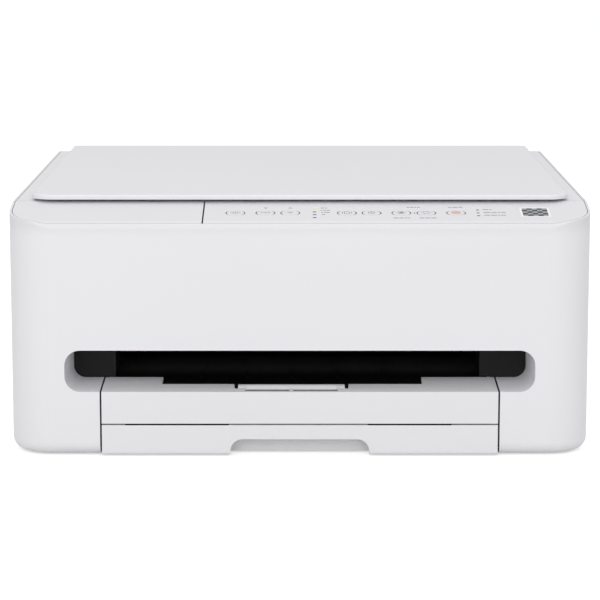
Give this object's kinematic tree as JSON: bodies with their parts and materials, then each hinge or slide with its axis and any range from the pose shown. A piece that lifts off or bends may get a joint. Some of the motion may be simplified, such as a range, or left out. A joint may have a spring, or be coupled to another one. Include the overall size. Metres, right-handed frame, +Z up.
{
  "type": "inkjet multifunction printer",
  "caption": "Compact white box-shaped inkjet printer with a flat scanner lid, a sloped button strip, a front output slot with tray, a front paper cassette and a full working interior.",
  "frame": {"origin": "middle of the footprint at table height, under the rubber feet", "axes": "+X to the right as seen from the front, +Y to the back, +Z up"},
  "size_m": [0.376, 0.36, 0.1655],
  "materials": {
    "white_plastic": "fine spark-eroded white plastic, satin",
    "white_lid": "fine-grained white plastic",
    "white_panel": "fine-grained white plastic with pale grey marks",
    "button_plastic": "smooth satin white plastic",
    "stop_plastic": "smooth satin white plastic with a pale red mark",
    "grip_plastic": "satin pale grey plastic",
    "black_plastic": "textured black plastic",
    "grey_plastic": "textured dark grey plastic",
    "gear_plastic": "natural acetal plastic",
    "black_rubber": "matt black rubber",
    "steel_sheet": "zinc-plated sheet steel",
    "steel_shaft": "ground steel",
    "motor_steel": "plated steel can",
    "clear_film": "clear printed film",
    "board_laminate": "green solder-masked laminate with black chips",
    "scanner_glass": "clear float glass",
    "foam": "white film on soft foam"
  },
  "bodies": {
    "base": {"outer_case": "white_plastic", "base_pan": "grey_plastic", "rubber_feet": "black_rubber", "output_fascia": "black_plastic", "chassis": "steel_sheet", "encoder_strip": "clear_film", "platen": "black_plastic", "star_wheel_bar": "black_plastic", "purge_unit": "grey_plastic", "power_supply": "black_plastic", "main_board": "board_laminate", "power_inlet": "black_plastic", "usb_port": "steel_sheet", "feed_motor": "motor_steel", "carriage_motor": "motor_steel", "carriage_belt": "black_rubber", "hinge_pins": "steel_shaft"},
    "feed_roller": {"feed_roller": "steel_shaft"},
    "eject_roller": {"eject_roller": "black_rubber"},
    "idler_gear": {"idler_gear": "gear_plastic"},
    "feed_pinion": {"feed_pinion": "gear_plastic"},
    "star_wheels": {"star_wheels": "steel_shaft"},
    "pinch_rollers": {"pinch_rollers": "grey_plastic"},
    "drive_pulley": {"drive_pulley": "steel_shaft"},
    "idler_pulley": {"idler_pulley": "steel_shaft"},
    "carriage": {"carriage": "black_plastic", "black_cartridge": "black_plastic", "colour_cartridge": "grey_plastic"},
    "black_latch": {"black_latch": "grey_plastic"},
    "colour_latch": {"colour_latch": "grey_plastic"},
    "pickup_arm": {"pickup_arm": "grey_plastic"},
    "pickup_roller": {"pickup_roller": "black_rubber"},
    "cassette": {"cassette_tray": "black_plastic", "cassette_front": "white_plastic"},
    "left_guide": {"left_paper_guide": "grey_plastic"},
    "right_guide": {"right_paper_guide": "grey_plastic"},
    "guide_pinion": {"guide_pinion": "gear_plastic"},
    "end_guide": {"end_paper_guide": "grey_plastic"},
    "output_tray": {"output_tray": "white_plastic", "tray_floor": "black_plastic"},
    "sheet_stop": {"sheet_stop": "grip_plastic"},
    "rear_cover": {"rear_cover": "white_plastic"},
    "scanner": {"scanner_base": "white_plastic", "scanner_top": "white_lid", "front_left_cover": "white_panel", "operation_panel": "white_panel", "scanner_glass": "scanner_glass", "scan_rail": "steel_shaft"},
    "scan_bar": {"scan_bar": "black_plastic"},
    "lid_hinges": {"lid_hinges": "white_plastic"},
    "lid": {"lid_cover": "white_lid", "lid_pad": "foam"},
    "power_button": {"power_button": "button_plastic"},
    "network_button": {"network_button": "button_plastic"},
    "wireless_button": {"wireless_button": "button_plastic"},
    "paper_button": {"paper_button": "button_plastic"},
    "information_button": {"information_button": "button_plastic"},
    "black_button": {"black_button": "button_plastic"},
    "colour_button": {"colour_button": "button_plastic"},
    "stop_button": {"stop_button": "stop_plastic"}
  },
  "joints": [
    {"name": "feed_roller_spin", "type": "hinge", "parent": "base", "child": "feed_roller", "pos_m": [0, 0.042, 0.056], "axis": [1, 0, 0], "continuous": true},
    {"name": "eject_roller_spin", "type": "hinge", "parent": "base", "child": "eject_roller", "pos_m": [0, -0.014, 0.054], "axis": [1, 0, 0], "continuous": true},
    {"name": "idler_gear_spin", "type": "hinge", "parent": "base", "child": "idler_gear", "pos_m": [-0.1492, 0.01414, 0.04359], "axis": [1, 0, 0], "continuous": true},
    {"name": "feed_pinion_spin", "type": "hinge", "parent": "base", "child": "feed_pinion", "pos_m": [-0.1492, 0.00962, 0.01799], "axis": [1, 0, 0], "continuous": true},
    {"name": "star_wheels_spin", "type": "hinge", "parent": "base", "child": "star_wheels", "pos_m": [0, -0.014, 0.063], "axis": [1, 0, 0], "continuous": true},
    {"name": "pinch_rollers_spin", "type": "hinge", "parent": "base", "child": "pinch_rollers", "pos_m": [0, 0.042, 0.0643], "axis": [1, 0, 0], "continuous": true},
    {"name": "carriage_slide", "type": "slide", "parent": "base", "child": "carriage", "axis": [1, 0, 0], "range_m": [-0.241, 0]},
    {"name": "drive_pulley_spin", "type": "hinge", "parent": "base", "child": "drive_pulley", "pos_m": [-0.17, 0.055, 0.088], "axis": [0, 1, 0], "continuous": true},
    {"name": "idler_pulley_spin", "type": "hinge", "parent": "base", "child": "idler_pulley", "pos_m": [0.17, 0.055, 0.088], "axis": [0, 1, 0], "continuous": true},
    {"name": "black_latch_hinge", "type": "hinge", "parent": "carriage", "child": "black_latch", "pos_m": [0.1035, -0.004, 0.1], "axis": [-1, 0, 0], "range_deg": [0, 22]},
    {"name": "colour_latch_hinge", "type": "hinge", "parent": "carriage", "child": "colour_latch", "pos_m": [0.1485, -0.004, 0.1], "axis": [-1, 0, 0], "range_deg": [0, 22]},
    {"name": "pickup_arm_hinge", "type": "hinge", "parent": "base", "child": "pickup_arm", "pos_m": [0, 0.092, 0.03], "axis": [-1, 0, 0], "range_deg": [0, 30]},
    {"name": "pickup_roller_spin", "type": "hinge", "parent": "pickup_arm", "child": "pickup_roller", "pos_m": [0, 0.122, 0.03], "axis": [1, 0, 0], "continuous": true},
    {"name": "cassette_slide", "type": "slide", "parent": "base", "child": "cassette", "axis": [0, -1, 0], "range_m": [0, 0.26]},
    {"name": "left_guide_slide", "type": "slide", "parent": "cassette", "child": "left_guide", "axis": [1, 0, 0], "range_m": [0, 0.054]},
    {"name": "right_guide_slide", "type": "slide", "parent": "cassette", "child": "right_guide", "axis": [-1, 0, 0], "range_m": [0, 0.054]},
    {"name": "guide_pinion_turn", "type": "hinge", "parent": "cassette", "child": "guide_pinion", "pos_m": [0, 0.03, 0.00675], "axis": [0, 0, 1], "range_deg": [-445, 0]},
    {"name": "end_guide_slide", "type": "slide", "parent": "cassette", "child": "end_guide", "axis": [0, 1, 0], "range_m": [0, 0.11]},
    {"name": "output_tray_slide", "type": "slide", "parent": "base", "child": "output_tray", "axis": [0, -1, 0], "range_m": [0, 0.11]},
    {"name": "sheet_stop_hinge", "type": "hinge", "parent": "output_tray", "child": "sheet_stop", "pos_m": [0, -0.1696, 0.0407], "axis": [1, 0, 0], "range_deg": [0, 80]},
    {"name": "rear_cover_hinge", "type": "hinge", "parent": "base", "child": "rear_cover", "pos_m": [0, 0.174, 0.018], "axis": [-1, 0, 0], "range_deg": [0, 80]},
    {"name": "scanner_hinge", "type": "hinge", "parent": "base", "child": "scanner", "pos_m": [0, 0.173, 0.118], "axis": [-1, 0, 0], "range_deg": [0, 45]},
    {"name": "scan_bar_slide", "type": "slide", "parent": "scanner", "child": "scan_bar", "axis": [1, 0, 0], "range_m": [0, 0.3]},
    {"name": "lid_hinge_lift", "type": "slide", "parent": "scanner", "child": "lid_hinges", "axis": [0, 0, 1], "range_m": [0, 0.008]},
    {"name": "lid_hinge", "type": "hinge", "parent": "lid_hinges", "child": "lid", "pos_m": [0, 0.17, 0.1588], "axis": [-1, 0, 0], "range_deg": [0, 92]},
    {"name": "power_button_press", "type": "slide", "parent": "scanner", "child": "power_button", "axis": [0, 0.1768, -0.9843], "range_m": [0, 0.0008], "stiffness_N_per_m": 400, "springref_m": -0.0004},
    {"name": "network_button_press", "type": "slide", "parent": "scanner", "child": "network_button", "axis": [0, 0.1768, -0.9843], "range_m": [0, 0.0008], "stiffness_N_per_m": 400, "springref_m": -0.0004},
    {"name": "wireless_button_press", "type": "slide", "parent": "scanner", "child": "wireless_button", "axis": [0, 0.1768, -0.9843], "range_m": [0, 0.0008], "stiffness_N_per_m": 400, "springref_m": -0.0004},
    {"name": "paper_button_press", "type": "slide", "parent": "scanner", "child": "paper_button", "axis": [0, 0.1768, -0.9843], "range_m": [0, 0.0008], "stiffness_N_per_m": 400, "springref_m": -0.0004},
    {"name": "information_button_press", "type": "slide", "parent": "scanner", "child": "information_button", "axis": [0, 0.1768, -0.9843], "range_m": [0, 0.0008], "stiffness_N_per_m": 400, "springref_m": -0.0004},
    {"name": "black_button_press", "type": "slide", "parent": "scanner", "child": "black_button", "axis": [0, 0.1768, -0.9843], "range_m": [0, 0.0008], "stiffness_N_per_m": 400, "springref_m": -0.0004},
    {"name": "colour_button_press", "type": "slide", "parent": "scanner", "child": "colour_button", "axis": [0, 0.1768, -0.9843], "range_m": [0, 0.0008], "stiffness_N_per_m": 400, "springref_m": -0.0004},
    {"name": "stop_button_press", "type": "slide", "parent": "scanner", "child": "stop_button", "axis": [0, 0.1768, -0.9843], "range_m": [0, 0.0008], "stiffness_N_per_m": 400, "springref_m": -0.0004}
  ],
  "couplings": [
    {"joint": "eject_roller_spin", "follows": "feed_roller_spin", "ratio": 1.05},
    {"joint": "idler_gear_spin", "follows": "feed_roller_spin", "ratio": -0.525},
    {"joint": "feed_pinion_spin", "follows": "feed_roller_spin", "ratio": 1.75},
    {"joint": "star_wheels_spin", "follows": "feed_roller_spin", "ratio": -1.4189},
    {"joint": "pinch_rollers_spin", "follows": "feed_roller_spin", "ratio": -1.6667},
    {"joint": "drive_pulley_spin", "follows": "carriage_slide", "rad_per_m": -166.67},
    {"joint": "idler_pulley_spin", "follows": "carriage_slide", "rad_per_m": -166.67},
    {"joint": "right_guide_slide", "follows": "left_guide_slide", "ratio": 1},
    {"joint": "guide_pinion_turn", "follows": "left_guide_slide", "rad_per_m": -142.86}
  ]
}
